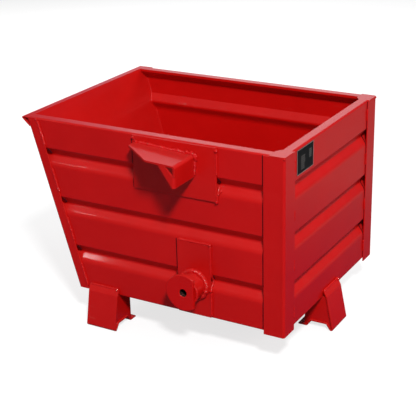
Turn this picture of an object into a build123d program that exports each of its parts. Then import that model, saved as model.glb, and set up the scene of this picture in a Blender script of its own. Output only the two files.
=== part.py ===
from build123d import *
import math
import os

# Stackable tipping container of welded sheet steel, lifted by two side trunnions and held by a hook on its
# left side while it tips. Millimetres. +Z is up, -X is the pouring side, +X is the rear wall. The left side
# is the one at -Y. The body is built about its middle plane, and then everything moves a little to the right,
# so that the origin is on the ground below the middle of the whole container's box, hook included.

# Driving dimensions of the body
body_length = 920.0
body_width = 700.0
wall_height = 570.0
ground_clearance = 117.0
front_setback = 164.0
lip_reach = 20.0
foot_reach = 38.0

# Sheets and plates
wall_sheet = 3.0
floor_sheet = 4.0
front_sheet = 4.0
post_sheet = 4.0
shoe_sheet = 5.0
hook_plate = 6.0

# Pressed grooves of the side and rear walls
groove_count = 3
first_groove_drop = 95.5
groove_pitch = 161.5
groove_height = 54.0
groove_depth = 19.0

# Places worked out from the driving dimensions
overall_length = lip_reach + body_length - post_sheet + foot_reach
front_x = lip_reach - overall_length / 2
post_x = front_x + body_length
rear_x = post_x - post_sheet
side_y = body_width / 2 - post_sheet
bottom_z = ground_clearance
rim_z = ground_clearance + wall_height

EAST, NORTH, UP = (1, 0, 0), (0, 1, 0), (0, 0, 1)
SOUTH = (0, -1, 0)


def bent_sheet(points, radii, thickness, side=Side.RIGHT):
    """Section of a sheet whose one face follows the points, each bend with its own radius."""
    line = FilletPolyline(*points, radius=radii)
    return make_face(offset(line, amount=thickness, side=side))


def mirrored(part):
    """The same part on the right side of the container."""
    return mirror(part, about=Plane.XZ)


# Side and rear walls: one bent section for both. Its first coordinate runs inwards from the wall's outer
# face, its second is the height. The bottom edge turns in under the floor and the top is a closed rim.
floor_flange = 70.0
floor_bend = 5.0
rim_width = 32.0
rim_nose = 9.0
rim_return_drop = 35.0
rim_bend = 6.0
nose_bend = 3.5
corner_cap = 3.0
groove_radii = [34.0, 9.0, 4.5]


def wall_line(top_z):
    """Outer line of a wall from its floor flange up past the grooves, with the bend radii."""
    points = [(floor_flange, bottom_z), (0, bottom_z)]
    radii = [floor_bend]
    for number in reversed(range(groove_count)):
        upper = rim_z - first_groove_drop - number * groove_pitch
        points += [(0, upper - groove_height), (groove_depth, upper - groove_height / 2), (0, upper)]
        radii += groove_radii
    return points + [(0, top_z)], radii


def plain_wall():
    """Section of a wall at the corners, where a corner cap closes its top."""
    points, radii = wall_line(rim_z - corner_cap)
    return bent_sheet(points, radii, wall_sheet)


def rimmed_wall():
    """Section of a wall with its rim, a flange turned in, down and back to the wall."""
    points, radii = wall_line(rim_z)
    nose = [(rim_width, rim_z), (rim_width, rim_z - rim_nose)]
    rim_end = (wall_sheet + 1.5, rim_z - rim_return_drop)
    wall = bent_sheet(points + nose, radii + [rim_bend, nose_bend], wall_sheet)
    return wall + bent_sheet(nose + [rim_end], [nose_bend], wall_sheet)


# Corner posts: angles over the outside of the two rear corners, reaching a little below the walls.
post_width = 70.0
post_overhang = 10.0
post_bend = 8.0
post_line = [
    (post_x - post_width, -body_width / 2),
    (post_x, -body_width / 2),
    (post_x, -body_width / 2 + post_width),
]
post_section = bent_sheet(post_line, [post_bend], post_sheet, Side.LEFT)
post_length = wall_height + post_overhang - corner_cap
corner_post = Pos(0, 0, bottom_z - post_overhang) * extrude(post_section, post_length)

# Corner caps: flat plates that close the rear corners of the rim and the tops of the posts.
cap_length = 51.0
cap_width = 63.0
cap_cut_length = 13.0
cap_cut_width = 18.0
cap_outline = Polyline(
    (post_x, -body_width / 2),
    (post_x - cap_length, -body_width / 2),
    (post_x - cap_length, -body_width / 2 + cap_width - cap_cut_width),
    (post_x - cap_length + cap_cut_length, -body_width / 2 + cap_width),
    (post_x, -body_width / 2 + cap_width),
    close=True,
)
cap_blank = Pos(0, 0, rim_z - corner_cap) * extrude(make_face(cap_outline), corner_cap)
corner_edge = cap_blank.edges().filter_by(Axis.Z).sort_by(Axis.X)[-2:].sort_by(Axis.Y)[0]
corner_plate = fillet(corner_edge, post_bend)

# Front plate: a channel whose flanges lap over the outside of the side walls, with a hollow pouring lip.
flange_width = 35.0
flange_bend = 6.0
front_slope = math.hypot(front_setback, wall_height)
run_out = 60.0
down_slope = (front_setback / front_slope, 0, -wall_height / front_slope)
front_plane = Plane(origin=(front_x, 0, rim_z), x_dir=NORTH, z_dir=down_slope)
half_width = body_width / 2
channel_line = [(-half_width, flange_width), (-half_width, 0), (half_width, 0), (half_width, flange_width)]
channel_section = bent_sheet(channel_line, [flange_bend, flange_bend], front_sheet, Side.LEFT)
channel = extrude(front_plane.offset(-run_out) * channel_section, front_slope + 2 * run_out)
channel = split(channel, bisect_by=Plane(origin=(0, 0, rim_z)), keep=Keep.BOTTOM)
channel = split(channel, bisect_by=Plane(origin=(0, 0, bottom_z)), keep=Keep.TOP)

lip_angle = math.radians(41)
lip_sheet = 3.0
lip_bend = 4.0
lip_corner = lip_reach + lip_bend / math.tan(lip_angle / 2) - lip_bend
front_lean = front_setback / wall_height
lip_underside = lip_corner / (math.cos(lip_angle) - front_lean * math.sin(lip_angle))
lip_line = [
    (front_x - lip_corner + lip_underside * math.cos(lip_angle), rim_z - lip_underside * math.sin(lip_angle)),
    (front_x - lip_corner, rim_z),
    (front_x + front_sheet, rim_z),
]
lip_section = bent_sheet(lip_line, [lip_bend], lip_sheet)
lip = extrude(Plane.XZ * lip_section, body_width / 2, both=True)
front_plate = channel + lip

# The walls end behind the front plate and meet at 45 degrees in the rear corners.
inner_front = Plane(
    origin=(front_x + front_sheet * front_slope / wall_height, 0, rim_z),
    x_dir=NORTH,
    z_dir=(wall_height / front_slope, 0, front_setback / front_slope),
)
rim_start = front_x - front_setback
cap_front_x = post_x - cap_length
cap_inner_y = body_width / 2 - cap_width
left_wall_plane = Plane(origin=(0, -side_y, 0), x_dir=NORTH, z_dir=EAST)
rear_wall_plane = Plane(origin=(rear_x, 0, 0), x_dir=(-1, 0, 0), z_dir=NORTH)
left_mitre = Plane(origin=(rear_x, -side_y, 0), x_dir=UP, z_dir=(-1, -1, 0))
right_mitre = Plane(origin=(rear_x, side_y, 0), x_dir=UP, z_dir=(-1, 1, 0))

side_wall = extrude(left_wall_plane.offset(rim_start) * rimmed_wall(), cap_front_x - rim_start)
side_wall += extrude(left_wall_plane.offset(cap_front_x) * plain_wall(), rear_x - cap_front_x)
side_wall = split(side_wall, bisect_by=inner_front, keep=Keep.TOP)
side_wall = split(side_wall, bisect_by=left_mitre, keep=Keep.TOP)
side_wall -= corner_post + channel

rear_wall = extrude(rear_wall_plane.offset(-cap_inner_y) * rimmed_wall(), 2 * cap_inner_y)
for start in (-side_y, cap_inner_y):
    rear_wall += extrude(rear_wall_plane.offset(start) * plain_wall(), side_y - cap_inner_y)
rear_wall = split(rear_wall, bisect_by=left_mitre, keep=Keep.BOTTOM)
rear_wall = split(rear_wall, bisect_by=right_mitre, keep=Keep.BOTTOM)
rear_wall -= corner_post
rear_wall -= mirrored(corner_post)

# Floor: a flat sheet that lies on the walls' floor flanges and ends at the front plate.
floor_length = rear_x - floor_bend - front_x
floor_width = 2 * (side_y - floor_bend)
floor_centre = (front_x + floor_length / 2, 0, bottom_z + wall_sheet)
floor_corner = (Align.CENTER, Align.CENTER, Align.MIN)
floor_plate = Pos(*floor_centre) * Box(floor_length, floor_width, floor_sheet, align=floor_corner)
floor_plate = split(floor_plate, bisect_by=inner_front, keep=Keep.TOP)

# Reinforcement plates welded over the grooves of the side walls, behind the hook and behind each trunnion.
hook_backing_start = 403.0
hook_backing_length = 293.0
hook_backing_height = 172.0
hook_backing_drop = 3.0
trunnion_backing_start = 551.0
trunnion_backing_length = 117.0
trunnion_backing_height = 247.0
trunnion_backing_rise = 3.0
plate_face_y = side_y + hook_plate


def backing_plate(start, length, top, height):
    """Flat plate on the outside of the left wall, with slightly eased outer edges."""
    corner = (Align.MIN, Align.MAX, Align.MAX)
    blank = Pos(front_x + start, -side_y, top) * Box(length, hook_plate, height, align=corner)
    outer_face = blank.faces().sort_by(Axis.Y)[0]
    return chamfer(outer_face.edges(), 0.8)


hook_backing = backing_plate(
    hook_backing_start, hook_backing_length, rim_z - hook_backing_drop, hook_backing_height
)
trunnion_backing_top = bottom_z + trunnion_backing_rise + trunnion_backing_height
trunnion_backing = backing_plate(
    trunnion_backing_start, trunnion_backing_length, trunnion_backing_top, trunnion_backing_height
)

# Tipping hook: one bent plate on the left side, with a roof, a leg behind it and a small flange folded at the
# leg's outer edge. Built in its own frame: X back along the roof, Y up, Z outwards, origin at the rear bend.
hook_start = 626.0
hook_drop = 34.0
hook_tilt = math.radians(2.9)
hook_length = 212.0
hook_outer_y = body_width / 2 + 120
hook_depth = hook_outer_y - plate_face_y
hook_leg = 70.0
hook_bend = 10.0
hook_flange = 57.0
hook_flange_bend = 9.0
roof_square_depth = 36.0
roof_nose_length = 101.0
notch_height = 32.0
notch_length = 34.0

roof = extrude(bent_sheet([(-hook_length, 0), (0, 0), (0, -notch_height)], [hook_bend], hook_plate), hook_depth)
roof_cut = Polyline(
    (-hook_length - hook_plate, roof_square_depth),
    (-hook_length, roof_square_depth),
    (-roof_nose_length, hook_depth),
    (-roof_nose_length, hook_depth + hook_plate),
    (-hook_length - hook_plate, hook_depth + hook_plate),
    close=True,
)
roof -= extrude(Plane.XZ * make_face(roof_cut), 2 * hook_plate, both=True)
leg_line = [(0, 0), (0, hook_depth), (-hook_flange, hook_depth)]
leg_section = bent_sheet(leg_line, [hook_flange_bend], hook_plate, Side.LEFT)
leg = extrude(Plane.XZ.offset(notch_height) * leg_section, hook_leg - notch_height)
flange_top = Polyline(
    (-hook_flange, -hook_plate),
    (-notch_length, -hook_plate),
    (-hook_plate - 2, -notch_height),
    (-hook_flange, -notch_height),
    close=True,
)
flange = Pos(0, 0, hook_depth - hook_plate) * extrude(make_face(flange_top), hook_plate)
taper_cut = Polyline(
    (-hook_flange, -hook_plate),
    (-hook_plate - 1, -hook_leg),
    (-hook_plate - 1, -hook_leg - hook_plate),
    (-2 * hook_flange, -hook_leg - hook_plate),
    (-2 * hook_flange, -hook_plate),
    close=True,
)
taper = Pos(0, 0, hook_depth / 2) * extrude(make_face(taper_cut), hook_depth)
hook_shape = roof + (leg + flange - taper)
hook_plane = Plane(
    origin=(front_x + hook_start, -plate_face_y, rim_z - hook_drop),
    x_dir=(math.cos(hook_tilt), 0, -math.sin(hook_tilt)),
    z_dir=SOUTH,
)
tipping_hook = hook_plane.location * hook_shape

# Trunnions: a turned pin welded to its reinforcement plate, with a retaining disc welded on its end.
trunnion_x = front_x + 610.0
trunnion_z = rim_z - 463.0
pin_radius = 42.0
disc_radius = 60.0
disc_thickness = 12.0
disc_face_y = body_width / 2 + 72
disc_flat = 36.0
bore_radius = 12.5
bore_chamfer = 1.5
trunnion_plane = Plane(origin=(trunnion_x, -plate_face_y, trunnion_z), x_dir=EAST, z_dir=SOUTH)
pin_length = disc_face_y - disc_thickness - plate_face_y
pin_section = Circle(pin_radius) - Circle(bore_radius)
trunnion_pin = extrude(trunnion_plane * pin_section, pin_length)
flat_cut = Pos(disc_flat + disc_radius, 0) * Rectangle(2 * disc_radius, 2 * disc_radius)
disc_section = Circle(disc_radius) - Circle(bore_radius) - flat_cut
disc_blank = extrude(trunnion_plane.offset(pin_length) * disc_section, disc_thickness)
disc_outer_face = disc_blank.faces().sort_by(Axis.Y)[0]
trunnion_disc = chamfer(disc_outer_face.edges(), bore_chamfer)

# Feet: stacking shoes that sit over the rim of the container below. Each is one bent plate with two webs.
# The section's first coordinate runs outwards from the wall's outer face, its second is the height.
shoe_length = 113.0
shoe_top_z = bottom_z + 22
seat_z = 20.5
seat_inner = -42.0
step_inner = -55.0
heel_inner = -86.0
toe_radius = 7.0
leg_slope = math.radians(11.5)
seat_slope = math.radians(55)
toe_half_angle = (math.pi / 2 - leg_slope - seat_slope) / 2
toe_offset = toe_radius / math.sin(toe_half_angle)
toe_x = foot_reach - toe_radius + toe_offset * math.cos(toe_half_angle + seat_slope)
toe_z = toe_radius - toe_offset * math.sin(toe_half_angle + seat_slope)
leg_knee_z = bottom_z + 2
leg_knee = (toe_x - (leg_knee_z - toe_z) * math.tan(leg_slope), leg_knee_z)
seat_outer = toe_x - (seat_z - toe_z) / math.tan(seat_slope)
shoe_line = [
    (shoe_sheet, shoe_top_z),
    leg_knee,
    (toe_x, toe_z),
    (seat_outer, seat_z),
    (seat_inner, seat_z),
    (step_inner, 0),
    (heel_inner, 0),
]
shoe_radii = [10.0, toe_radius, 8.0, 7.0, 7.0]
shoe_section = bent_sheet(shoe_line, shoe_radii, shoe_sheet)
shoe = extrude(Plane.XZ * shoe_section, shoe_length / 2, both=True)

web_thickness = 5.0
web_inset = 5.0
web_inner = -65.0
web_outline = Polyline(
    (web_inner, bottom_z),
    (foot_reach, bottom_z),
    (foot_reach, 0),
    (web_inner, 0),
    close=True,
)
web_blank = make_face(web_outline) - shoe_section
web_section = web_blank.faces().sort_by(SortBy.AREA)[-1]
web_plate = extrude(Plane.XZ * web_section, web_thickness / 2, both=True)
web_offset = shoe_length / 2 - web_inset - web_thickness / 2
webs = Pos(0, -web_offset, 0) * web_plate + Pos(0, web_offset, 0) * web_plate

side_foot_x = front_x + 264.5
left_foot = Pos(side_foot_x, -side_y, 0) * Rot(0, 0, -90)
rear_foot = Pos(rear_x, 0, 0)

# Type plate: a thin plate on the rear wall, just below the rim.
type_plate_width = 114.0
type_plate_height = 78.0
type_plate_thickness = 1.0
type_plate_y = -body_width / 2 + 89
type_plate_top = rim_z - 7
type_align = (Align.MIN, Align.MIN, Align.MAX)
type_box = Box(type_plate_thickness, type_plate_width, type_plate_height, align=type_align)
type_plate = Pos(rear_x, type_plate_y, type_plate_top) * type_box

parts = {
    "front_plate": front_plate,
    "rear_wall": rear_wall,
    "floor_plate": floor_plate,
    "hook_backing": hook_backing,
    "tipping_hook": tipping_hook,
    "foot_shoe_rear": rear_foot * shoe,
    "foot_webs_rear": rear_foot * webs,
    "type_plate": type_plate,
}
left_parts = {
    "side_wall": side_wall,
    "corner_post": corner_post,
    "corner_plate": corner_plate,
    "trunnion_backing": trunnion_backing,
    "trunnion_pin": trunnion_pin,
    "trunnion_disc": trunnion_disc,
    "foot_shoe": left_foot * shoe,
    "foot_webs": left_foot * webs,
}
for name, part in left_parts.items():
    parts[name + "_left"] = part
    parts[name + "_right"] = mirrored(part)

# The hook reaches further out on the left than the trunnion's disc does on the right.
box_shift = (hook_outer_y - disc_face_y) / 2

os.makedirs("parts", exist_ok=True)
for name, part in parts.items():
    placed = Pos(0, box_shift, 0) * part
    export_step(placed, f"parts/{name}.step")
    print(name, round(placed.volume / 1000), "cm3", placed.bounding_box())
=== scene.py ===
import math
import random

import bmesh
import bpy
from mathutils import Matrix, Vector


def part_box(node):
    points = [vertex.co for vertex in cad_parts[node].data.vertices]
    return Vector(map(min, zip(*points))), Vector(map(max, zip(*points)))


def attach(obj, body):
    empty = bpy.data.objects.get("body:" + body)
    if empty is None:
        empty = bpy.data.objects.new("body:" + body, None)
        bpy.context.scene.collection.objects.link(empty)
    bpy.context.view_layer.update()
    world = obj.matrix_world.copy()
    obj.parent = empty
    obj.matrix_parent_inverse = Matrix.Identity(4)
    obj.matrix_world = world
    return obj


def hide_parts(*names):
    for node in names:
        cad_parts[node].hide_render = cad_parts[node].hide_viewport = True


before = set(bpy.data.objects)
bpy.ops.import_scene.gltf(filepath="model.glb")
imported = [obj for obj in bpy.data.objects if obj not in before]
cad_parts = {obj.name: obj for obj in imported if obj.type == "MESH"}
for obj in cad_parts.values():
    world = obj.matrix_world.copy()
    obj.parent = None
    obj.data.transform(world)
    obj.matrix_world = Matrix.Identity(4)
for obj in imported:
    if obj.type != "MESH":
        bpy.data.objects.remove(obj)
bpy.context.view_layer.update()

# --- Walls ------------------------------------------------
# Three walls of 3 mm cold-rolled sheet, each pressed with three stiffening grooves and folded at the top
# into a closed rim and at the bottom into a floor flange. The whole container is shot-blasted after
# welding and sprayed with one coat of red enamel.


def add_inputs(group, values):
    """Adds named inputs with their starting values to a node group."""
    kinds = {int: "NodeSocketInt", float: "NodeSocketFloat", tuple: "NodeSocketColor"}
    for name, value in values.items():
        socket = group.interface.new_socket(name, in_out="INPUT", socket_type=kinds[type(value)])
        socket.default_value = value


def calculate(tree, operation, first, second=None):
    """One step of arithmetic on sockets or numbers, in a shader or a geometry tree. Returns its output."""
    step = tree.nodes.new("ShaderNodeMath")
    step.operation = operation
    for place, value in enumerate((first, second)):
        if isinstance(value, bpy.types.NodeSocket):
            tree.links.new(value, step.inputs[place])
        elif value is not None:
            step.inputs[place].default_value = value
    return step.outputs[0]


def multiply(tree, first, second):
    """The product of two sockets or numbers."""
    return calculate(tree, "MULTIPLY", first, second)


def fractal(tree, place, scale, detail, roughness=0.55):
    """Fractal noise at a place, with values around one half. Returns its output."""
    noise = tree.nodes.new("ShaderNodeTexNoise")
    noise.inputs["Scale"].default_value = scale
    noise.inputs["Detail"].default_value = detail
    noise.inputs["Roughness"].default_value = roughness
    tree.links.new(place, noise.inputs["Vector"])
    return noise.outputs["Fac"]


def blend_colours(tree, amount, first, second):
    """Mixes two colours, each a socket or a value. Returns the mixed colour."""
    mix = tree.nodes.new("ShaderNodeMix")
    mix.data_type = "RGBA"
    tree.links.new(amount, mix.inputs[0])
    for place, value in ((6, first), (7, second)):
        if isinstance(value, bpy.types.NodeSocket):
            tree.links.new(value, mix.inputs[place])
        else:
            mix.inputs[place].default_value = value
    return mix.outputs[2]


def shader_group(name, inputs, outputs):
    """A shader node group with named sockets. Returns it, its inputs, its outputs and the object place."""
    group = bpy.data.node_groups.new(name, "ShaderNodeTree")
    add_inputs(group, inputs)
    for socket in outputs:
        kind = "NodeSocketColor" if socket == "Color" else "NodeSocketFloat"
        group.interface.new_socket(socket, in_out="OUTPUT", socket_type=kind)
    given = group.nodes.new("NodeGroupInput").outputs
    result = group.nodes.new("NodeGroupOutput").inputs
    place = group.nodes.new("ShaderNodeTexCoord").outputs["Object"]
    return group, given, result, place


def sprayed_surface_group():
    """Height in metres of a sprayed coat: orange peel, slow waves in the sheet and caught grit."""
    inputs = {"Peel Height": 0.00003, "Wave Height": 0.0010, "Grit Height": 0.00006}
    group, given, result, place = shader_group("sprayed_surface", inputs, ["Height"])
    peel = fractal(group, place, scale=420.0, detail=2.0)
    peel = multiply(group, peel, given["Peel Height"])
    wave = fractal(group, place, scale=6.0, detail=1.0)
    wave = multiply(group, wave, given["Wave Height"])
    rare_speck = 0.70
    specks = fractal(group, place, scale=240.0, detail=3.0, roughness=0.7)
    specks = calculate(group, "GREATER_THAN", specks, rare_speck)
    grit = multiply(group, specks, given["Grit Height"])
    height = calculate(group, "ADD", calculate(group, "ADD", peel, wave), grit)
    group.links.new(height, result["Height"])
    return group


def worn_and_highlit_edges_group():
    """Mask of broken edge lines, worn thin and lightened as a painted highlight, and of a few long scuffs."""
    inputs = {"Edge Width": 0.002, "Edge Amount": 0.4, "Scuff Amount": 0.1}
    group, given, result, place = shader_group("worn_and_highlit_edges", inputs, ["Edges", "Scuffs"])
    rounded = group.nodes.new("ShaderNodeBevel")
    rounded.samples = 4
    group.links.new(given["Edge Width"], rounded.inputs["Radius"])
    likeness = group.nodes.new("ShaderNodeVectorMath")
    likeness.operation = "DOT_PRODUCT"
    group.links.new(rounded.outputs["Normal"], likeness.inputs[0])
    group.links.new(group.nodes.new("ShaderNodeNewGeometry").outputs["Normal"], likeness.inputs[1])
    turn = calculate(group, "SUBTRACT", 1.0, likeness.outputs["Value"])
    edge_gain, strongest_edge = 5.0, 0.8
    broken = fractal(group, place, scale=55.0, detail=5.0, roughness=0.7)
    broken = multiply(group, broken, given["Edge Amount"])
    edges = multiply(group, multiply(group, turn, edge_gain), broken)
    group.links.new(calculate(group, "MINIMUM", edges, strongest_edge), result["Edges"])
    stretch = group.nodes.new("ShaderNodeMapping")
    stretch.inputs["Rotation"].default_value = (0.3, 0.9, 0.5)
    stretch.inputs["Scale"].default_value = (7.0, 60.0, 90.0)
    group.links.new(place, stretch.inputs["Vector"])
    rare_line, rare_patch = 0.66, 0.55
    lines = fractal(group, stretch.outputs["Vector"], scale=1.6, detail=3.0)
    lines = calculate(group, "GREATER_THAN", lines, rare_line)
    patches = fractal(group, place, scale=9.0, detail=2.0)
    patches = calculate(group, "GREATER_THAN", patches, rare_patch)
    scuffs = multiply(group, lines, patches)
    group.links.new(multiply(group, scuffs, given["Scuff Amount"]), result["Scuffs"])
    return group


def cloudiness_group():
    """Slow drift of the colour and the gloss over the coat, and fine dust that settles on what faces up."""
    inputs = {"Paint": (0.5, 0.01, 0.01, 1), "Depth": 0.12, "Dust Amount": 0.05}
    group, given, result, place = shader_group("enamel_clouds", inputs, ["Color", "Drift", "Dust"])
    drift = fractal(group, place, scale=5.0, detail=5.0, roughness=0.6)
    drift = multiply(group, calculate(group, "SUBTRACT", drift, 0.5), given["Depth"])
    tone = group.nodes.new("ShaderNodeHueSaturation")
    group.links.new(given["Paint"], tone.inputs["Color"])
    brighter = calculate(group, "ADD", multiply(group, drift, 2.0), 1.0)
    group.links.new(brighter, tone.inputs["Value"])
    group.links.new(tone.outputs["Color"], result["Color"])
    group.links.new(drift, result["Drift"])
    facing = group.nodes.new("ShaderNodeSeparateXYZ")
    group.links.new(group.nodes.new("ShaderNodeNewGeometry").outputs["Normal"], facing.inputs[0])
    upward = calculate(group, "MAXIMUM", facing.outputs["Z"], 0.0)
    dust = fractal(group, place, scale=30.0, detail=6.0, roughness=0.65)
    dust = multiply(group, multiply(group, dust, upward), given["Dust Amount"])
    group.links.new(dust, result["Dust"])
    return group


sprayed_surface = sprayed_surface_group()
worn_and_highlit_edges = worn_and_highlit_edges_group()
enamel_clouds = cloudiness_group()
enamel_red = (0.500, 0.0028, 0.0022, 1)
# Lighter red for the edges, partly a worn thin coat and partly a painted highlight, and for the scuffs.
thin_coat_and_highlight_red = (0.60, 0.045, 0.034, 1)
dust_grey = (0.50, 0.36, 0.32, 1)


def new_material(name, specular):
    """A new material. Returns it with its node tree and its shader."""
    material = bpy.data.materials.new(name)
    material.use_nodes = True
    shader = material.node_tree.nodes["Principled BSDF"]
    shader.inputs["Specular IOR Level"].default_value = specular
    return material, material.node_tree, shader


def place_group(tree, group, values):
    """Puts a node group in a material with its own values. Returns its outputs."""
    node = tree.nodes.new("ShaderNodeGroup")
    node.node_tree = group
    for socket, value in values.items():
        node.inputs[socket].default_value = value
    return node.outputs


def raise_surface(tree, shader, height, distance):
    """Feeds a height through a bump node, distance metres for each unit, into the shader's normal."""
    bump = tree.nodes.new("ShaderNodeBump")
    bump.inputs["Distance"].default_value = distance
    tree.links.new(height, bump.inputs["Height"])
    tree.links.new(bump.outputs["Normal"], shader.inputs["Normal"])


def enamel(
    name,
    roughness=0.36,
    peel=0.00003,
    wave=0.0010,
    grit=0.00005,
    edges=0.35,
    scuffs=0.10,
    clouds=0.12,
    coat=0.26,
):
    """Red enamel over one kind of steel: smooth sheet, rolled plate, a turned part or a weld."""
    material, tree, shader = new_material(name, specular=0.24)
    shader.inputs["Coat Weight"].default_value = coat
    shader.inputs["Coat Roughness"].default_value = 0.09

    tint = place_group(tree, enamel_clouds, {"Paint": enamel_red, "Depth": clouds})
    wear_and_highlight = place_group(tree, worn_and_highlit_edges, {"Edge Amount": edges, "Scuff Amount": scuffs})
    # The edges turn lighter red, partly as worn coat and partly as a painted highlight; the scuffs are wear.
    colour = blend_colours(tree, wear_and_highlight["Edges"], tint["Color"], thin_coat_and_highlight_red)
    colour = blend_colours(tree, wear_and_highlight["Scuffs"], colour, thin_coat_and_highlight_red)
    colour = blend_colours(tree, tint["Dust"], colour, dust_grey)
    tree.links.new(colour, shader.inputs["Base Color"])

    gloss = calculate(tree, "ADD", tint["Drift"], roughness)
    gloss = calculate(tree, "ADD", gloss, wear_and_highlight["Scuffs"])
    gloss = calculate(tree, "ADD", gloss, tint["Dust"])
    tree.links.new(gloss, shader.inputs["Roughness"])

    heights = {"Peel Height": peel, "Wave Height": wave, "Grit Height": grit}
    surface = place_group(tree, sprayed_surface, heights)
    raise_surface(tree, shader, surface["Height"], distance=1.0)
    return material


enamel_on_sheet = enamel("enamel_on_sheet")


def new_object(name, data):
    """A new object in the scene, at the origin."""
    thing = bpy.data.objects.new(name, data)
    bpy.context.scene.collection.objects.link(thing)
    return thing


def painted_piece(node, name, material, edge_radius):
    """A part with its seams merged and its cut edges rounded, as blasting and paint round them."""
    mesh = bpy.data.meshes.new(name)
    shape = bmesh.new()
    shape.from_mesh(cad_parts[node].data)
    bmesh.ops.remove_doubles(shape, verts=shape.verts, dist=0.00001)
    flat_within = math.radians(0.3)
    bmesh.ops.dissolve_limit(shape, angle_limit=flat_within, verts=shape.verts, edges=shape.edges)
    for face in shape.faces:
        face.smooth = True
    shape.to_mesh(mesh)
    shape.free()
    mesh.materials.append(material)
    piece = new_object(name, mesh)
    rounding = piece.modifiers.new("rounded_edges", "BEVEL")
    rounding.width = edge_radius
    rounding.segments = 2
    rounding.limit_method = "ANGLE"
    rounding.angle_limit = math.radians(38)
    rounding.miter_outer = "MITER_ARC"
    flats = piece.modifiers.new("flat_faces", "WEIGHTED_NORMAL")
    flats.keep_sharp = False
    flats.weight = 80
    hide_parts(node)
    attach(piece, "root")
    return piece


for side in ("left", "right"):
    painted_piece(f"side_wall_{side}", f"pressed_side_wall_{side}", enamel_on_sheet, edge_radius=0.0006)
painted_piece("rear_wall", "pressed_rear_wall", enamel_on_sheet, edge_radius=0.0006)

left_face_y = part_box("side_wall_left")[0].y
right_face_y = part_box("side_wall_right")[1].y
rear_face_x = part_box("rear_wall")[1].x
wall_foot_z, rim_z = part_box("rear_wall")[0].z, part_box("rear_wall")[1].z
wall_sheet = 0.003
# For each side wall: its name, where its outer face stands, and which way along Y is inwards.
sides = (("left", left_face_y, 1), ("right", right_face_y, -1))

# --- Floor plate ------------------------------------------
# One flat 4 mm sheet laid on the walls' floor flanges. The load scrapes over it, so its coat is duller and
# more scuffed than on the walls.
enamel_on_floor = enamel(
    "enamel_on_floor", roughness=0.42, wave=0.0014, grit=0.00008, edges=0.5, scuffs=0.25, clouds=0.16
)
painted_piece("floor_plate", "welded_floor_plate", enamel_on_floor, edge_radius=0.0008)
floor_low, floor_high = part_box("floor_plate")

# --- Front plate ------------------------------------------
# A smooth 4 mm sheet, leaned out so that the load slides off. Its sides are folded back over the side walls
# and its top is folded out and down into a hollow pouring lip that is open at both ends.
enamel_on_front = enamel("enamel_on_front", wave=0.0012, edges=0.4, scuffs=0.16, clouds=0.14)
painted_piece("front_plate", "sloping_front_plate", enamel_on_front, edge_radius=0.0007)

# --- Rear corners -----------------------------------------
# Bent 4 mm angles cover both rear corners and reach below the walls. Small 3 mm caps close the rim's
# corners and the tops of the angles, and are ground flush after welding.
for side in ("left", "right"):
    painted_piece(f"corner_post_{side}", f"corner_angle_{side}", enamel_on_sheet, edge_radius=0.0008)
    painted_piece(f"corner_plate_{side}", f"rim_corner_cap_{side}", enamel_on_sheet, edge_radius=0.0004)

# --- Seams of the body ------------------------------------
# Hand-laid fillet welds, sprayed over. Inside, they run unbroken down every corner and round the floor, so
# that the container holds fine goods. Outside, the lapped flanges and angles are only stitched.


def geometry_tree(name, shape_in, values, shape_out):
    """A geometry tree with named inputs for its sizes and its material. Returns it with its inputs."""
    tree = bpy.data.node_groups.new(name, "GeometryNodeTree")
    tree.interface.new_socket(shape_in, in_out="INPUT", socket_type="NodeSocketGeometry")
    add_inputs(tree, values)
    tree.interface.new_socket("Material", in_out="INPUT", socket_type="NodeSocketMaterial")
    tree.interface.new_socket(shape_out, in_out="OUTPUT", socket_type="NodeSocketGeometry")
    return tree, tree.nodes.new("NodeGroupInput").outputs


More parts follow.
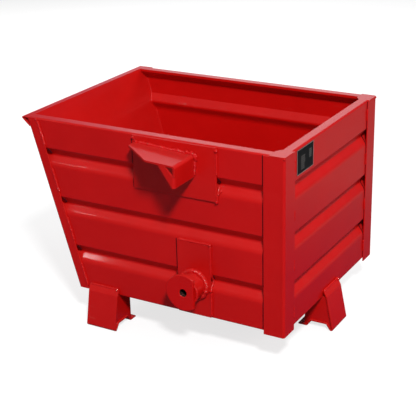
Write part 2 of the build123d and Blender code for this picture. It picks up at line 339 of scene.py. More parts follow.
def weld_bead_tree():
    """Grows a rippled, slightly lumpy bead along each line, with rounded ends."""
    values = {"Bead Radius": 0.003, "Ripple Pitch": 0.0045, "Ripple Height": 0.1}
    values |= {"Lumpiness": 0.25, "Seed": 1}
    tree, given = geometry_tree("weld_bead", "Lines", values, "Beads")
    nodes, links = tree.nodes, tree.links

    steps = nodes.new("GeometryNodeResampleCurve")
    steps.mode = "LENGTH"
    links.new(given["Lines"], steps.inputs["Curve"])
    steps_per_ripple = 4.0
    links.new(calculate(tree, "DIVIDE", given["Ripple Pitch"], steps_per_ripple), steps.inputs["Length"])

    run = nodes.new("GeometryNodeSplineParameter").outputs["Length"]
    whole = nodes.new("GeometryNodeSplineLength").outputs["Length"]
    phase = multiply(tree, calculate(tree, "DIVIDE", run, given["Ripple Pitch"]), 2 * math.pi)
    ripple = multiply(tree, calculate(tree, "SINE", phase), given["Ripple Height"])
    lumps = nodes.new("ShaderNodeTexNoise")
    lumps.noise_dimensions = "4D"
    lumps.inputs["Scale"].default_value = 75.0
    lumps.inputs["Detail"].default_value = 2.0
    links.new(nodes.new("GeometryNodeInputPosition").outputs[0], lumps.inputs["Vector"])
    links.new(given["Seed"], lumps.inputs["W"])
    noise_gain = 4.0
    swell = calculate(tree, "SUBTRACT", lumps.outputs["Fac"], 0.5)
    swell = multiply(tree, multiply(tree, swell, noise_gain), given["Lumpiness"])
    fullness = calculate(tree, "ADD", calculate(tree, "ADD", ripple, swell), 1.0)
    nearest_end = calculate(tree, "MINIMUM", run, calculate(tree, "SUBTRACT", whole, run))
    end_part = calculate(tree, "MINIMUM", calculate(tree, "DIVIDE", nearest_end, given["Bead Radius"]), 1.0)
    end_drop = calculate(tree, "POWER", calculate(tree, "SUBTRACT", 1.0, end_part), 2.0)
    blunt_end = 1.05
    roundness = calculate(tree, "SQRT", calculate(tree, "SUBTRACT", blunt_end, end_drop))
    size = multiply(tree, fullness, roundness)
    radius = multiply(tree, given["Bead Radius"], size)

    sway = nodes.new("ShaderNodeVectorMath")
    sway.operation = "SUBTRACT"
    sway.inputs[1].default_value = (0.5, 0.5, 0.5)
    links.new(lumps.outputs["Color"], sway.inputs[0])
    shift = nodes.new("ShaderNodeVectorMath")
    shift.operation = "SCALE"
    links.new(sway.outputs[0], shift.inputs[0])
    links.new(multiply(tree, given["Bead Radius"], given["Lumpiness"]), shift.inputs["Scale"])
    swayed = nodes.new("GeometryNodeSetPosition")
    links.new(steps.outputs["Curve"], swayed.inputs["Geometry"])
    links.new(shift.outputs[0], swayed.inputs["Offset"])

    section = nodes.new("GeometryNodeCurvePrimitiveCircle")
    section.inputs["Resolution"].default_value = 8
    section.inputs["Radius"].default_value = 1.0
    bead = nodes.new("GeometryNodeCurveToMesh")
    bead.inputs["Fill Caps"].default_value = True
    links.new(swayed.outputs["Geometry"], bead.inputs["Curve"])
    links.new(section.outputs["Curve"], bead.inputs["Profile Curve"])
    links.new(radius, bead.inputs["Scale"])
    finish_tree(tree, bead.outputs["Mesh"], given["Material"])
    return tree


def finish_tree(tree, mesh, material):
    """Ends a tree: smooth faces, real geometry and one material."""
    smooth = tree.nodes.new("GeometryNodeSetShadeSmooth")
    real = tree.nodes.new("GeometryNodeRealizeInstances")
    coated = tree.nodes.new("GeometryNodeSetMaterial")
    result = tree.nodes.new("NodeGroupOutput")
    tree.links.new(mesh, smooth.inputs["Geometry"])
    tree.links.new(smooth.outputs["Geometry"], real.inputs["Geometry"])
    tree.links.new(real.outputs["Geometry"], coated.inputs["Geometry"])
    tree.links.new(material, coated.inputs["Material"])
    tree.links.new(coated.outputs["Geometry"], result.inputs[0])


def grown_piece(name, guide, tree, values):
    """Grows a tree on a guide object, keeps the result as a plain mesh and lets it ride on the body."""
    grower = guide.modifiers.new("grower", "NODES")
    grower.node_group = tree
    for item in tree.interface.items_tree:
        if item.in_out == "INPUT" and item.name in values:
            grower[item.identifier] = values[item.name]
    bpy.context.scene.collection.objects.link(guide)
    shown = guide.evaluated_get(bpy.context.evaluated_depsgraph_get())
    mesh = bpy.data.meshes.new_from_object(shown)
    guide.modifiers.remove(grower)
    bpy.data.objects.remove(guide)
    piece = new_object(name, mesh)
    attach(piece, "root")


weld_bead = weld_bead_tree()
enamel_on_weld = enamel(
    "enamel_on_weld",
    roughness=0.30,
    peel=0.00004,
    wave=0.0,
    grit=0.00008,
    edges=0.0,
    scuffs=0.0,
    clouds=0.10,
    coat=0.4,
)
enamel_on_weld_drops = enamel(
    "enamel_on_weld_drops", roughness=0.20, wave=0.0, grit=0.00004, edges=0.0, scuffs=0.0, clouds=0.10, coat=1
)


def weld(name, paths, bead_radius, lumpiness, seed, material=enamel_on_weld):
    """Welds along several lines of points, as one piece."""
    lines = bpy.data.curves.new(name + "_lines", "CURVE")
    lines.dimensions = "3D"
    for path in paths:
        line = lines.splines.new("POLY")
        line.points.add(len(path) - 1)
        for point, place in zip(line.points, path):
            point.co = (*place, 1)
    guide = bpy.data.objects.new(name + "_guide", lines)
    values = {"Bead Radius": bead_radius, "Lumpiness": lumpiness, "Seed": seed, "Material": material}
    grown_piece(name, guide, weld_bead, values)


groove_count = 3
groove_pitch = 0.1615
groove_height = 0.054
groove_depth = 0.019
lower_bend_radius = 0.034
valley_radius = 0.009
flank_slope = math.atan2(groove_depth, groove_height / 2)
above_first_groove = 0.0955
rim_depth = 0.037
first_groove_top = rim_z - above_first_groove
rim_underside = rim_z - rim_depth
path_step = 0.003


def groove_inset(height):
    """How far a wall's outer face stands back at a height because of its pressed grooves."""
    for number in range(groove_count):
        middle = first_groove_top - groove_height / 2 - number * groove_pitch
        bend_start = middle - groove_height / 2 - lower_bend_radius * math.tan(flank_slope / 2)
        in_bend = height - bend_start
        off_middle = abs(height - middle)
        flank = groove_depth - off_middle * math.tan(flank_slope)
        if 0 < in_bend < lower_bend_radius * math.sin(flank_slope):
            return lower_bend_radius - math.sqrt(lower_bend_radius ** 2 - in_bend ** 2)
        if off_middle < valley_radius * math.sin(flank_slope):
            across = math.sqrt(valley_radius ** 2 - off_middle ** 2)
            return groove_depth - valley_radius / math.cos(flank_slope) + across
        if flank > 0:
            return flank
    return 0.0


def heights_up_the_wall(bottom, top):
    """Heights from bottom to top, close enough together to follow the pressed grooves."""
    count = max(2, round((top - bottom) / path_step))
    return [bottom + (top - bottom) * step / count for step in range(count + 1)]


front_lean = (floor_low.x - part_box("side_wall_left")[0].x) / (rim_z - floor_low.z)


def front_inner_x(height):
    """Where the front plate's inner face stands at a height."""
    return floor_low.x - (height - floor_high.z) * front_lean


body_seams = []
rear_inner_x = rear_face_x - wall_sheet
seam_heights = heights_up_the_wall(floor_high.z, rim_underside)
for side, face_y, inward in sides:
    inner_y = face_y + inward * wall_sheet
    front_corner = [(front_inner_x(z), inner_y + inward * groove_inset(z), z) for z in seam_heights]
    rear_corner = [
        (rear_inner_x - groove_inset(z), inner_y + inward * groove_inset(z), z) for z in seam_heights
    ]
    floor_edge_y = floor_low.y if side == "left" else floor_high.y
    floor_edge = [(x, floor_edge_y, floor_high.z) for x in (floor_low.x, floor_high.x)]
    body_seams += [front_corner, rear_corner, floor_edge]
floor_seam_inset = 0.001
for x in (floor_low.x + floor_seam_inset, floor_high.x):
    body_seams.append([(x, y, floor_high.z) for y in (floor_low.y, floor_high.y)])
weld("inner_corner_welds", body_seams, bead_radius=0.0024, lumpiness=0.16, seed=3, material=enamel_on_sheet)

# The stitches lie on the flats between the grooves. They stand off the sheet so as not to burn through it.
flat_middles = (0.638, 0.484, 0.322, 0.166)
stitch_stand_off = 0.0020
flange_stitch_length = 0.078
flange_overlap = 0.0364
flange_edge_inset = 0.0042
flange_stitches = []
for side, face_y, inward in sides:
    stitch_y = face_y - inward * stitch_stand_off
    for middle in flat_middles:
        ends = (middle - flange_stitch_length / 2, middle + flange_stitch_length / 2)
        edge = [(front_inner_x(z) - flange_edge_inset + flange_overlap, stitch_y, z) for z in ends]
        flange_stitches.append(edge)
weld("front_flange_stitches", flange_stitches, bead_radius=0.0036, lumpiness=0.32, seed=5)

angle_low, angle_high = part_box("corner_post_left")
angle_width = angle_high.x - angle_low.x
angle_sheet = 0.004
angle_stitch_length = 0.042
angle_stitches = []
for side, face_y, inward in sides:
    edge_y = face_y + inward * (angle_width - angle_sheet)
    for middle in flat_middles:
        ends = (middle - angle_stitch_length / 2, middle + angle_stitch_length / 2)
        angle_stitches.append([(rear_face_x + stitch_stand_off, edge_y, z) for z in ends])
weld("corner_angle_stitches", angle_stitches, bead_radius=0.0032, lumpiness=0.38, seed=7)

flange_reach = 0.070
under_z = wall_foot_z + wall_sheet
under_stitch_length = 0.045
under_stitches = []
for number in range(5):
    start = floor_low.x + 0.10 + number * 0.125
    for y in (left_face_y + flange_reach, right_face_y - flange_reach):
        under_stitches.append([(x, y, under_z) for x in (start, start + under_stitch_length)])
for number in range(4):
    start = left_face_y + 0.12 + number * 0.135
    x = rear_face_x - flange_reach
    under_stitches.append([(x, y, under_z) for y in (start, start + under_stitch_length)])
weld("floor_flange_stitches", under_stitches, bead_radius=0.0028, lumpiness=0.3, seed=9)

cap_joints = []
cap_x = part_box("corner_plate_left")[0].x
flush_z = rim_z - 0.0017
joint_start, joint_end = 0.003, 0.030
for side, face_y, inward in sides:
    cap_low, cap_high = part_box(f"corner_plate_{side}")
    cap_y = cap_high.y if side == "left" else cap_low.y
    cap_joints.append([(cap_x, face_y + inward * along, flush_z) for along in (joint_start, joint_end)])
    cap_joints.append([(rear_face_x - along, cap_y, flush_z) for along in (joint_start, joint_end)])
weld("ground_cap_welds", cap_joints, bead_radius=0.0011, lumpiness=0.3, seed=11)

# --- Reinforcement plates ---------------------------------
# Flat 6 mm plates laid across the pressed grooves, behind the tipping hook and behind each trunnion. They
# are flame-cut from hot-rolled plate, so their skin under the coat is slightly pitted.
enamel_on_plate = enamel(
    "enamel_on_plate", roughness=0.44, peel=0.00004, wave=0.0005, grit=0.00008, clouds=0.14, coat=0.14
)
painted_piece("hook_backing", "hook_reinforcement", enamel_on_plate, edge_radius=0.0004)
for side in ("left", "right"):
    backing, plate_name = f"trunnion_backing_{side}", f"trunnion_reinforcement_{side}"
    painted_piece(backing, plate_name, enamel_on_plate, edge_radius=0.0004)


def weld_blob_tree():
    """Sets one uneven drop of weld metal on each point."""
    values = {"Smallest Radius": 0.003, "Largest Radius": 0.005, "Fineness": 3, "Unevenness": 0.3, "Seed": 1}
    tree, given = geometry_tree("weld_blob", "Points", values, "Blobs")
    nodes, links = tree.nodes, tree.links
    drop = nodes.new("GeometryNodeMeshIcoSphere")
    drop.inputs["Radius"].default_value = 1.0
    links.new(given["Fineness"], drop.inputs["Subdivisions"])
    size = nodes.new("FunctionNodeRandomValue")
    size.data_type = "FLOAT"
    links.new(given["Smallest Radius"], size.inputs[2])
    links.new(given["Largest Radius"], size.inputs[3])
    links.new(given["Seed"], size.inputs["Seed"])
    placed = nodes.new("GeometryNodeInstanceOnPoints")
    links.new(given["Points"], placed.inputs["Points"])
    links.new(drop.outputs["Mesh"], placed.inputs["Instance"])
    links.new(size.outputs[1], placed.inputs["Scale"])
    real = nodes.new("GeometryNodeRealizeInstances")
    links.new(placed.outputs["Instances"], real.inputs["Geometry"])
    lumps = nodes.new("ShaderNodeTexNoise")
    lumps.inputs["Scale"].default_value = 160.0
    links.new(nodes.new("GeometryNodeInputPosition").outputs[0], lumps.inputs["Vector"])
    noise_gain = 4.0
    swell = calculate(tree, "SUBTRACT", lumps.outputs["Fac"], 0.5)
    push = multiply(tree, multiply(tree, swell, noise_gain), given["Unevenness"])
    push = multiply(tree, push, given["Largest Radius"])
    outwards = nodes.new("ShaderNodeVectorMath")
    outwards.operation = "SCALE"
    links.new(nodes.new("GeometryNodeInputNormal").outputs[0], outwards.inputs[0])
    links.new(push, outwards.inputs["Scale"])
    shaped = nodes.new("GeometryNodeSetPosition")
    links.new(real.outputs["Geometry"], shaped.inputs["Geometry"])
    links.new(outwards.outputs[0], shaped.inputs["Offset"])
    finish_tree(tree, shaped.outputs["Geometry"], given["Material"])
    return tree


weld_blob = weld_blob_tree()


def blobs(name, places, smallest, largest, seed):
    """Drops of weld metal at several places, as one piece."""
    points = bpy.data.meshes.new(name + "_points")
    points.from_pydata(places, [], [])
    guide = bpy.data.objects.new(name + "_guide", points)
    values = {
        "Smallest Radius": smallest,
        "Largest Radius": largest,
        "Seed": seed,
        "Material": enamel_on_weld_drops,
    }
    grown_piece(name, guide, weld_blob, values)


# The beads and drops stand off the 3 mm sheet, so that none of them shows through on the inside.
hook_plate_low, hook_plate_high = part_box("hook_backing")
plate_weld_stand_off = 0.0026
drop_stand_off = 0.0018
hook_plate_weld_y = left_face_y - plate_weld_stand_off
first_groove_foot = first_groove_top - groove_height
lowest_groove_foot = first_groove_foot - (groove_count - 1) * groove_pitch
upper_weld_end, lower_weld_end = 0.597, 0.515
hook_plate_welds = [
    [(hook_plate_high.x, hook_plate_weld_y, z) for z in (hook_plate_high.z - 0.004, upper_weld_end)],
    [(hook_plate_high.x, hook_plate_weld_y, z) for z in (first_groove_foot - 0.002, lower_weld_end)],
    [
        (hook_plate_high.x + 0.002, hook_plate_weld_y + groove_inset(z), z)
        for z in heights_up_the_wall(first_groove_foot + 0.001, first_groove_foot + 0.024)
    ],
    [
        (hook_plate_high.x + 0.012, left_face_y + 0.004, first_groove_foot + 0.012),
        (hook_plate_high.x + 0.001, left_face_y - 0.002, first_groove_foot - 0.003),
    ],
]
weld("hook_plate_welds", hook_plate_welds, bead_radius=0.0042, lumpiness=0.28, seed=13)

hook_drop_y = hook_plate_weld_y - drop_stand_off
drop_places = [
    (hook_plate_high.x, hook_drop_y, hook_plate_high.z - 0.010),
    (hook_plate_high.x + 0.001, hook_drop_y, hook_plate_low.z + 0.001),
    (hook_plate_low.x + 0.004, hook_drop_y, hook_plate_high.z - 0.009),
]
trunnion_plate_welds = []
tack_places = []
for side, face_y, inward in sides:
    plate_low, plate_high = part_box(f"trunnion_backing_{side}")
    y = face_y - inward * plate_weld_stand_off
    top_edge = [(x, y, plate_high.z) for x in (plate_low.x + 0.004, plate_high.x - 0.002)]
    edge_heights = heights_up_the_wall(plate_low.z + 0.004, plate_high.z - 0.003)
    rear_edge = [(plate_high.x, y + inward * groove_inset(z), z) for z in edge_heights]
    trunnion_plate_welds += [top_edge, rear_edge]
    drop_places.append((plate_high.x, y - inward * drop_stand_off, plate_high.z - 0.001))
    drop_places.append((plate_high.x + 0.001, y - inward * 0.0012, lowest_groove_foot - 0.002))
    tack_places.append((front_inner_x(rim_z) + 0.030, face_y - inward * 0.002, rim_z - 0.0062))
    tack_places.append((rear_face_x + 0.0012, face_y - inward * 0.0012, rim_z - 0.0058))
    tack_places.append((rear_face_x - 0.047, face_y - inward * 0.0005, rim_z - 0.0060))
weld("trunnion_plate_welds", trunnion_plate_welds, bead_radius=0.0044, lumpiness=0.24, seed=15)
blobs("plate_corner_blobs", drop_places, smallest=0.0050, largest=0.0060, seed=4)
blobs("rim_corner_tacks", tack_places, smallest=0.0034, largest=0.0044, seed=5)


def mottling_group():
    """Two colours, the gloss and the height drifting together: painted shade at joints, a dark bore, dull
    print.
    """
    inputs = {"First Color": (0.01, 0.01, 0.01, 1), "Second Color": (0.05, 0.05, 0.05, 1)}
    inputs |= {"Fineness": 90.0, "Detail": 4.0, "Least Roughness": 0.3, "Roughness Range": 0.3}
    group, given, result, place = shader_group("mottling", inputs, ["Color", "Roughness", "Height"])
    stains = fractal(group, place, scale=90.0, detail=4.0, roughness=0.6)
    group.links.new(given["Fineness"], stains.node.inputs["Scale"])
    group.links.new(given["Detail"], stains.node.inputs["Detail"])
    colour = blend_colours(group, stains, given["First Color"], given["Second Color"])
    group.links.new(colour, result["Color"])
    gloss = multiply(group, stains, given["Roughness Range"])
    group.links.new(calculate(group, "ADD", gloss, given["Least Roughness"]), result["Roughness"])
    group.links.new(stains, result["Height"])
    return group


mottling = mottling_group()


def mottled(name, first, second, fineness, detail, roughness, roughness_range, bump_height, specular=0.5):
    """A surface without enamel: painted shade along a joint, a dark bore wall, the sign's plate or its print.
    """
    material, tree, shader = new_material(name, specular)
    colours = {"First Color": first, "Second Color": second}
    gloss = {"Least Roughness": roughness, "Roughness Range": roughness_range}
    stain = place_group(tree, mottling, {**colours, **gloss, "Fineness": fineness, "Detail": detail})
    tree.links.new(stain["Color"], shader.inputs["Base Color"])
    tree.links.new(stain["Roughness"], shader.inputs["Roughness"])
    raise_surface(tree, shader, stain["Height"], bump_height)
    return material


# Painted shadow: near-black lines laid on the wall beside the edges of the plates and angles, where those
# edges shade it.
painted_joint_shadow = mottled(
    "shadow_line_paint",
    first=(0.020, 0.001, 0.004, 1),
    second=(0.110, 0.002, 0.006, 1),
    fineness=90.0,
    detail=4.0,
    roughness=0.55,
    roughness_range=0.3,
    bump_height=0.0001,
    specular=0.1,
)
beside_plate_edge = 0.0042
beside_angle_edge = 0.0030
hook_shadow_heights = heights_up_the_wall(hook_plate_low.z, hook_plate_high.z - 0.012)
hook_shadow_x = hook_plate_low.x - beside_plate_edge
shadow_lines = [
    [(x, left_face_y, hook_plate_low.z - 0.0006) for x in (hook_plate_low.x, hook_plate_high.x - 0.006)],
    [(hook_shadow_x, left_face_y + groove_inset(z), z) for z in hook_shadow_heights],
]
for side, face_y, inward in sides:
    plate_low, plate_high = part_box(f"trunnion_backing_{side}")
    angle_low, angle_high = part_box(f"corner_post_{side}")
    plate_heights = heights_up_the_wall(plate_low.z + 0.002, plate_high.z)
    angle_heights = heights_up_the_wall(wall_foot_z + 0.006, angle_high.z)
    shadow_x = plate_low.x - beside_plate_edge
    shadow_lines.append([(shadow_x, face_y + inward * groove_inset(z), z) for z in plate_heights])
    shadow_x = angle_low.x - beside_angle_edge
    shadow_lines.append([(shadow_x, face_y + inward * groove_inset(z), z) for z in angle_heights])
    shadow_y = angle_high.y if side == "left" else angle_low.y
    shadow_lines.append([(rear_face_x - groove_inset(z), shadow_y, z) for z in angle_heights])
weld("painted_edge_shadows", shadow_lines, bead_radius=0.0016, lumpiness=0.0, seed=1, material=painted_joint_shadow)


def painted_groove_shadow(number, face_y, inward, plate_edge_x=None):
    """Painted shadow over a groove's upper flank, beside a plate's edge or else along the front flange."""
    groove_top = first_groove_top - number * groove_pitch
    path = []
    for z in heights_up_the_wall(groove_top - 0.022, groove_top - 0.005):
        if plate_edge_x is None:
            x = front_inner_x(z) + flange_overlap + 0.001
        else:
            x = plate_edge_x + 0.003
        path.append((x, face_y + inward * (groove_inset(z) - 0.0008), z))
    return path


# Dark strips painted where the plates' edges and the front flange shade the grooves' upper flanks.
painted_groove_shadows = [painted_groove_shadow(0, left_face_y, 1, hook_plate_high.x)]
for side, face_y, inward in sides:
    plate_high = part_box(f"trunnion_backing_{side}")[1]
    painted_groove_shadows.append(painted_groove_shadow(groove_count - 1, face_y, inward, plate_high.x))
    painted_groove_shadows += [painted_groove_shadow(number, face_y, inward) for number in range(groove_count)]
weld("painted_groove_shadows", painted_groove_shadows, bead_radius=0.0028, lumpiness=0.12, seed=2, material=painted_joint_shadow)

# --- Tipping hook -----------------------------------------
# One flame-cut 6 mm plate bent into a roof and a leg, with a small triangular flange folded round at the
# leg's outer edge. It is welded to its plate all round, over the roof, round the bend and down the leg.
painted_piece("tipping_hook", "bent_tipping_hook", enamel_on_plate, edge_radius=0.0010)
hook_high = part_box("tipping_hook")[1]
hook_tilt = math.radians(2.9)
hook_length = 0.212
hook_leg = 0.070
hook_bend = 0.010
hook_sheet = 0.006
hook_rear = Vector((hook_high.x + 0.0005, 0, hook_high.z - hook_length * math.sin(hook_tilt)))


def on_hook(along, up, y):
    """A place in the container from one measured along the roof and square to it, from the rear bend."""
    x = hook_rear.x + along * math.cos(hook_tilt) + up * math.sin(hook_tilt)
    z = hook_rear.z - along * math.sin(hook_tilt) + up * math.cos(hook_tilt)
    return (x, y, z)


hook_weld_y = hook_high.y - 0.0012
over_the_top = [on_hook(-hook_length + 0.006, 0, hook_weld_y)]
for step in range(7):
    turn = math.radians(15) * step
    along = -hook_bend + hook_bend * math.sin(turn)
    up = -hook_bend + hook_bend * math.cos(turn)
    over_the_top.append(on_hook(along, up, hook_weld_y))
over_the_top.append(on_hook(0, -hook_leg + 0.004, hook_weld_y))
under_the_roof = [
    on_hook(-hook_length + 0.010, -hook_sheet, hook_weld_y),
    on_hook(-hook_sheet - 0.004, -hook_sheet, hook_weld_y),
    on_hook(-hook_sheet, -hook_sheet - 0.004, hook_weld_y),
    on_hook(-hook_sheet, -hook_leg + 0.006, hook_weld_y),
]
hook_welds = [over_the_top, under_the_roof]
weld("hook_welds", hook_welds, bead_radius=0.0056, lumpiness=0.40, seed=17, material=enamel_on_weld_drops)
# Where the larger drops sit: along the roof, square to it, and out from the weld.
hook_drops = (
    (-0.058, 0.001, 0),
    (-0.028, 0.002, 0),
    (0, 0, 0.002),
    (0.003, -0.006, 0.002),
    (0.003, -0.014, 0.001),
    (-0.010, 0.003, 0.001),
    (-hook_length + 0.006, 0.001, 0),
)
hook_drop_places = [on_hook(along, up, hook_weld_y - out) for along, up, out in hook_drops]
blobs("hook_weld_blobs", hook_drop_places, smallest=0.0060, largest=0.0082, seed=6)

# --- Trunnions --------------------------------------------
# A turned and bored pin stands on each lower plate in a heavy ring of weld. A 12 mm disc with one flat is
# welded on its end to keep the lifting arm from sliding off.
enamel_on_turned_steel = enamel(
    "enamel_on_turned_steel", roughness=0.28, wave=0.0002, grit=0.00004, edges=0.4, scuffs=0.12, clouds=0.08
)
# The bore's wall is coloured near-black with faint brown mottling.
dark_bore_wall = mottled(
    "dark_bore_surface",
    first=(0.004, 0.004, 0.004, 1),
    second=(0.030, 0.020, 0.014, 1),
    fineness=180.0,
    detail=5.0,
    roughness=0.3,
    roughness_range=0.4,
    bump_height=0.0002,
)
bore_radius = 0.0125


def blacken_bore(piece, middle):
    """Colours the wall of the bore near-black, and leaves the rest of the piece painted."""
    piece.data.materials.append(dark_bore_wall)
    for face in piece.data.polygons:
        centre = face.center
        off_axis = math.hypot(centre.x - middle.x, centre.z - middle.z)
        if off_axis < bore_radius and abs(face.normal.y) < 0.5:
            face.material_index = 1


def ring(middle, radius, y):
    """Places round a trunnion every 6 degrees, which go a little past the start."""
    turns = [math.radians(step - 60) for step in range(0, 378, 6)]
    return [(middle.x + radius * math.cos(turn), y, middle.z + radius * math.sin(turn)) for turn in turns]


top_of_ring = slice(20, 27, 2)
for side, face_y, inward in sides:
    pin_name, disc_name = f"turned_trunnion_pin_{side}", f"retaining_disc_{side}"
    pin = painted_piece(f"trunnion_pin_{side}", pin_name, enamel_on_turned_steel, edge_radius=0.0008)
    disc = painted_piece(f"trunnion_disc_{side}", disc_name, enamel_on_turned_steel, edge_radius=0.0006)
    pin_low, pin_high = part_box(f"trunnion_pin_{side}")
    pin_middle = (pin_low + pin_high) / 2
    blacken_bore(pin, pin_middle)
    blacken_bore(disc, pin_middle)
    pin_radius = (pin_high.x - pin_low.x) / 2
    plate_y, disc_y = (pin_high.y, pin_low.y) if side == "left" else (pin_low.y, pin_high.y)
    root = [ring(pin_middle, pin_radius + 0.0024, plate_y - inward * 0.0020)]
    weld(f"pin_root_weld_{side}", root, bead_radius=0.0086, lumpiness=0.30, seed=19)
    drops = ring(pin_middle, pin_radius + 0.0060, plate_y - inward * 0.0055)[top_of_ring]
    blobs(f"pin_weld_drops_{side}", drops, smallest=0.0036, largest=0.0056, seed=9)
    behind_disc = [ring(pin_middle, pin_radius + 0.0010, disc_y + inward * 0.0012)]
    weld(f"disc_weld_{side}", behind_disc, bead_radius=0.0038, lumpiness=0.26, seed=21)

# --- Stacking feet ----------------------------------------
# Three shoes of bent 5 mm plate, two at the sides near the front and one in the middle of the rear wall.
# Each has two upright webs inside, and its folded sole sits over the rim of the container below.
enamel_on_foot = enamel(
    "enamel_on_foot", peel=0.00004, wave=0.0005, grit=0.00008, edges=0.7, scuffs=0.25, clouds=0.10
)


def beside_foot(place, out, along, height):
    """A place measured out from the wall that a foot stands under, along that wall, and up."""
    if place == "rear":
        return (rear_face_x + out, along, height)
    if place == "left":
        return (along, left_face_y - out, height)
    return (along, right_face_y + out, height)


foot_welds = []
foot_drops = []
shoe_weld_out, shoe_drop_out = 0.0030, 0.0055
under_floor = (-0.060, -0.012)
for place in ("left", "right", "rear"):
    painted_piece(f"foot_shoe_{place}", f"stacking_shoe_{place}", enamel_on_foot, edge_radius=0.0009)
    painted_piece(f"foot_webs_{place}", f"shoe_webs_{place}", enamel_on_foot, edge_radius=0.0008)
    shoe_low, shoe_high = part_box(f"foot_shoe_{place}")
    web_low, web_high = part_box(f"foot_webs_{place}")
    axis = 1 if place == "rear" else 0
    start, end = shoe_low[axis] + 0.003, shoe_high[axis] - 0.003
    foot_welds.append([beside_foot(place, shoe_weld_out, along, shoe_high.z) for along in (start, end)])
    foot_drops.append(beside_foot(place, shoe_drop_out, end - 0.002, shoe_high.z - 0.001))
    for along in (web_low[axis], web_high[axis]):
        web_top_z = web_high.z - 0.0008
        foot_welds.append([beside_foot(place, out, along, web_top_z) for out in under_floor])
        leg_top, leg_middle = (0.0165, along, 0.084), (0.0240, along, 0.048)
        foot_welds.append([beside_foot(place, *leg_top), beside_foot(place, *leg_middle)])
weld("foot_welds", foot_welds, bead_radius=0.0036, lumpiness=0.36, seed=23)
blobs("foot_weld_blobs", foot_drops, smallest=0.0044, largest=0.0056, seed=8)

# --- Sign -------------------------------------------------
# A thin black plate on the rear wall, just below the rim, with a pale printed border and rows of plain
# bars in two columns. The print is a raised film, 0.15 mm thick.
sign_black = mottled(
    "sign_black",
    first=(0.0025, 0.003, 0.003, 1),
    second=(0.007, 0.008, 0.008, 1),
    fineness=70.0,
    detail=5.0,
    roughness=0.32,
    roughness_range=0.25,
    bump_height=0.00006,
    specular=0.12,
)
sign_tree = sign_black.node_tree
sign_place = sign_tree.nodes.new("ShaderNodeTexCoord").outputs["Object"]
sign_grain = fractal(sign_tree, sign_place, scale=900.0, detail=2.0)
sign_tree.links.new(sign_grain, sign_tree.nodes["Bump"].inputs["Height"])
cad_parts["type_plate"].data.materials[0] = sign_black


def print_film(name, first, second):
    """Screen print with slightly uneven ink."""
    return mottled(name, first, second, 320.0, 4.0, roughness=0.35, roughness_range=0.3, bump_height=0.00003)


sign_low, sign_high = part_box("type_plate")
print_thickness = 0.00015


def printed(name, rectangles, material):
    """Raised print on the sign. Each rectangle is (from, to, bottom, top) in metres from its lower left."""
    shape = bmesh.new()
    for start, end, bottom, top in rectangles:
        low = Vector((sign_high.x, sign_low.y + start, sign_low.z + bottom))
        high = Vector((sign_high.x + print_thickness, sign_low.y + end, sign_low.z + top))
        block = bmesh.ops.create_cube(shape, size=1.0)["verts"]
        for vertex in block:
            for axis in range(3):
                vertex.co[axis] = low[axis] if vertex.co[axis] < 0 else high[axis]
    mesh = bpy.data.meshes.new(name)
    shape.to_mesh(mesh)
    shape.free()
    mesh.materials.append(material)
    piece = new_object(name, mesh)
    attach(piece, "root")


sign_width = sign_high.y - sign_low.y
sign_height = sign_high.z - sign_low.z
margin = 0.0004
strip = 0.0012
inner = margin + strip
border_strips = [
    (margin, sign_width - margin, margin, inner),
    (margin, sign_width - margin, sign_height - inner, sign_height - margin),
    (margin, inner, inner, sign_height - inner),
    (sign_width - inner, sign_width - margin, inner, sign_height - inner),
]
border_print = print_film("border_print", (0.30, 0.20, 0.19, 1), (0.42, 0.30, 0.28, 1))
printed("sign_border", border_strips, border_print)
print_order = random.Random(12)
bar_height = 0.0028
ragged_end = 0.010
# Each column of bars: where it starts and ends along the sign, its lowest and highest bar, and their number.
columns = ((0.026, 0.056, 0.012, 0.056, 7), (0.082, 0.106, 0.034, 0.062, 5))
bars = []
for column_start, column_end, first, last, bar_count in columns:
    for number in range(bar_count):
        bottom = first + (last - first) * number / bar_count
        end = column_end - print_order.uniform(0, ragged_end)
        bars.append((column_start, end, bottom, bottom + bar_height))
bar_print = print_film("bar_print", (0.05, 0.05, 0.045, 1), (0.13, 0.12, 0.11, 1))
printed("sign_bars", bars, bar_print)

# --- Floor, light and camera ------------------------------
# A plain pale studio floor, a soft key light from the viewer's right and fills behind and at the side. Faces
# that lie flat mirror a bright patch of backdrop, and the others mirror dark, slightly blue surroundings.


def eased(tree, value, start, end, low=0.0, high=1.0):
    """Goes smoothly from low to high while a value goes from start to end. Returns its output."""
    ramp = tree.nodes.new("ShaderNodeMapRange")
    ramp.interpolation_type = "SMOOTHSTEP"
    for socket, number in (("From Min", start), ("From Max", end), ("To Min", low), ("To Max", high)):
        ramp.inputs[socket].default_value = number
    tree.links.new(value, ramp.inputs["Value"])
    return ramp.outputs["Result"]


floor_reach = 14.0
floor_mesh = bpy.data.meshes.new("studio_floor")
floor_corners = [(x * floor_reach, y * floor_reach, 0) for x, y in ((-1, -1), (1, -1), (1, 1), (-1, 1))]
floor_mesh.from_pydata(floor_corners, [], [(0, 1, 2, 3)])
studio_floor = new_object("studio_floor", floor_mesh)
floor_paint, floor_tree, floor_shader = new_material("studio_floor_paint", specular=0.0)
floor_shader.inputs["Roughness"].default_value = 0.9
floor_shader.inputs["Emission Strength"].default_value = 1.0
floor_ray = floor_tree.nodes.new("ShaderNodeLightPath").outputs
floor_place = floor_tree.nodes.new("ShaderNodeTexCoord").outputs["Object"]
floor_axes = floor_tree.nodes.new("ShaderNodeSeparateXYZ")
floor_tree.links.new(floor_place, floor_axes.inputs[0])
behind = eased(floor_tree, floor_axes.outputs["Y"], start=0.2, end=1.6)
patchy = multiply(floor_tree, fractal(floor_tree, floor_place, scale=1.6, detail=3.0), 2.0)
behind_tone = multiply(floor_tree, behind, patchy)
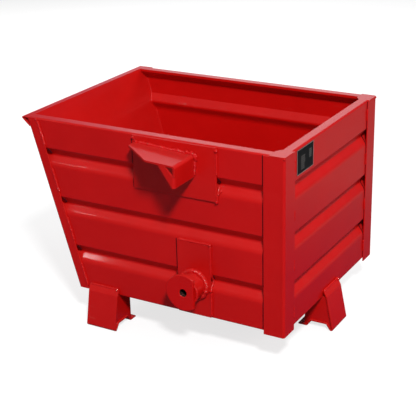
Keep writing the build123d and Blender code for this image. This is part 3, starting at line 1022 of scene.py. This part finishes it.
mirrored = blend_colours(floor_tree, behind_tone, (0.034, 0.032, 0.085, 1), (0.21, 0.20, 0.20, 1))
floor_tone = blend_colours(floor_tree, floor_ray["Is Glossy Ray"], (0.26, 0.26, 0.26, 1), mirrored)
floor_tone = blend_colours(floor_tree, floor_ray["Is Camera Ray"], floor_tone, (0.30, 0.30, 0.30, 1))
floor_tree.links.new(floor_tone, floor_shader.inputs["Base Color"])
floor_glow = blend_colours(floor_tree, floor_ray["Is Camera Ray"], (0, 0, 0, 1), (0.74, 0.74, 0.74, 1))
floor_tree.links.new(floor_glow, floor_shader.inputs["Emission Color"])
floor_mesh.materials.append(floor_paint)

world = bpy.data.worlds.new("studio")
bpy.context.scene.world = world
world.use_nodes = True
world_tree = world.node_tree
direction = world_tree.nodes.new("ShaderNodeTexCoord").outputs["Generated"]
toward_back = world_tree.nodes.new("ShaderNodeVectorMath")
toward_back.operation = "DOT_PRODUCT"
toward_back.inputs[1].default_value = Vector((-0.420, 0.860, 0.30)).normalized()
world_tree.links.new(direction, toward_back.inputs[0])
patch_edge, patch_middle = math.cos(math.radians(13)), math.cos(math.radians(4))
backdrop = eased(world_tree, toward_back.outputs["Value"], patch_edge, patch_middle, low=0.10, high=1.6)
world_ray = world_tree.nodes.new("ShaderNodeLightPath").outputs
around = multiply(world_tree, world_ray["Is Diffuse Ray"], 0.16)
brightness = calculate(world_tree, "ADD", backdrop, around)
plain_white = multiply(world_tree, world_ray["Is Camera Ray"], 2.0)
brightness = calculate(world_tree, "MAXIMUM", brightness, plain_white)
world_tree.links.new(brightness, world_tree.nodes["Background"].inputs["Strength"])
in_patch = multiply(world_tree, backdrop, 0.6)
world_tint = blend_colours(world_tree, in_patch, (0.24, 0.22, 0.62, 1), (1, 1, 1, 1))
world_tint = blend_colours(world_tree, world_ray["Is Diffuse Ray"], world_tint, (1, 1, 1, 1))
world_tint = blend_colours(world_tree, world_ray["Is Camera Ray"], world_tint, (1, 1, 1, 1))
world_tree.links.new(world_tint, world_tree.nodes["Background"].inputs["Color"])

lit_point = Vector((0, 0, 0.4))


def soft_lamp(name, direction, distance, width, height, power, reflected=True, shape="RECTANGLE"):
    """A lamp aimed at the container. One that isn't reflected only lightens shadows."""
    lamp = bpy.data.lights.new(name, "AREA")
    lamp.shape = shape
    lamp.size, lamp.size_y = width, height
    lamp.energy = power
    holder = new_object(name, lamp)
    toward = Vector(direction).normalized()
    holder.location = lit_point + toward * distance
    holder.rotation_euler = toward.to_track_quat("Z", "Y").to_euler()
    holder.visible_glossy = reflected


soft_lamp("key_light", (0.46, -0.57, 0.68), 7.0, width=0.9, height=0.9, power=500, shape="DISK")
soft_lamp("small_window", (-0.58, -0.668, 0.468), 4.02, width=0.10, height=0.22, power=2.8)
soft_lamp("right_fill", (0.80, 0.45, 0.40), 5.0, width=2.2, height=1.6, power=60, reflected=False)
soft_lamp("back_fill", (-0.50, 0.75, 0.42), 5.0, width=2.6, height=2.0, power=115, reflected=False)

bpy.context.scene.view_settings.view_transform = "Standard"

camera_azimuth = math.radians(30.05)
camera_elevation = math.radians(21.95)
camera_roll = math.radians(-1.385)
camera_place = Vector((1.727, -2.993 + (left_face_y + right_face_y) / 2, 1.720))
forward = Vector((
    -math.sin(camera_azimuth) * math.cos(camera_elevation),
    math.cos(camera_azimuth) * math.cos(camera_elevation),
    -math.sin(camera_elevation),
))
level_right = Vector((math.cos(camera_azimuth), math.sin(camera_azimuth), 0))
level_up = level_right.cross(forward)
camera_right = math.cos(camera_roll) * level_right + math.sin(camera_roll) * level_up
camera_up = -math.sin(camera_roll) * level_right + math.cos(camera_roll) * level_up
camera_data = bpy.data.cameras.new("camera")
camera_data.lens = 94.9
camera_data.sensor_width = 36
camera = new_object("camera", camera_data)
turned = Matrix((camera_right, camera_up, -forward)).transposed().to_4x4()
camera.matrix_world = Matrix.Translation(camera_place) @ turned
bpy.context.scene.camera = camera
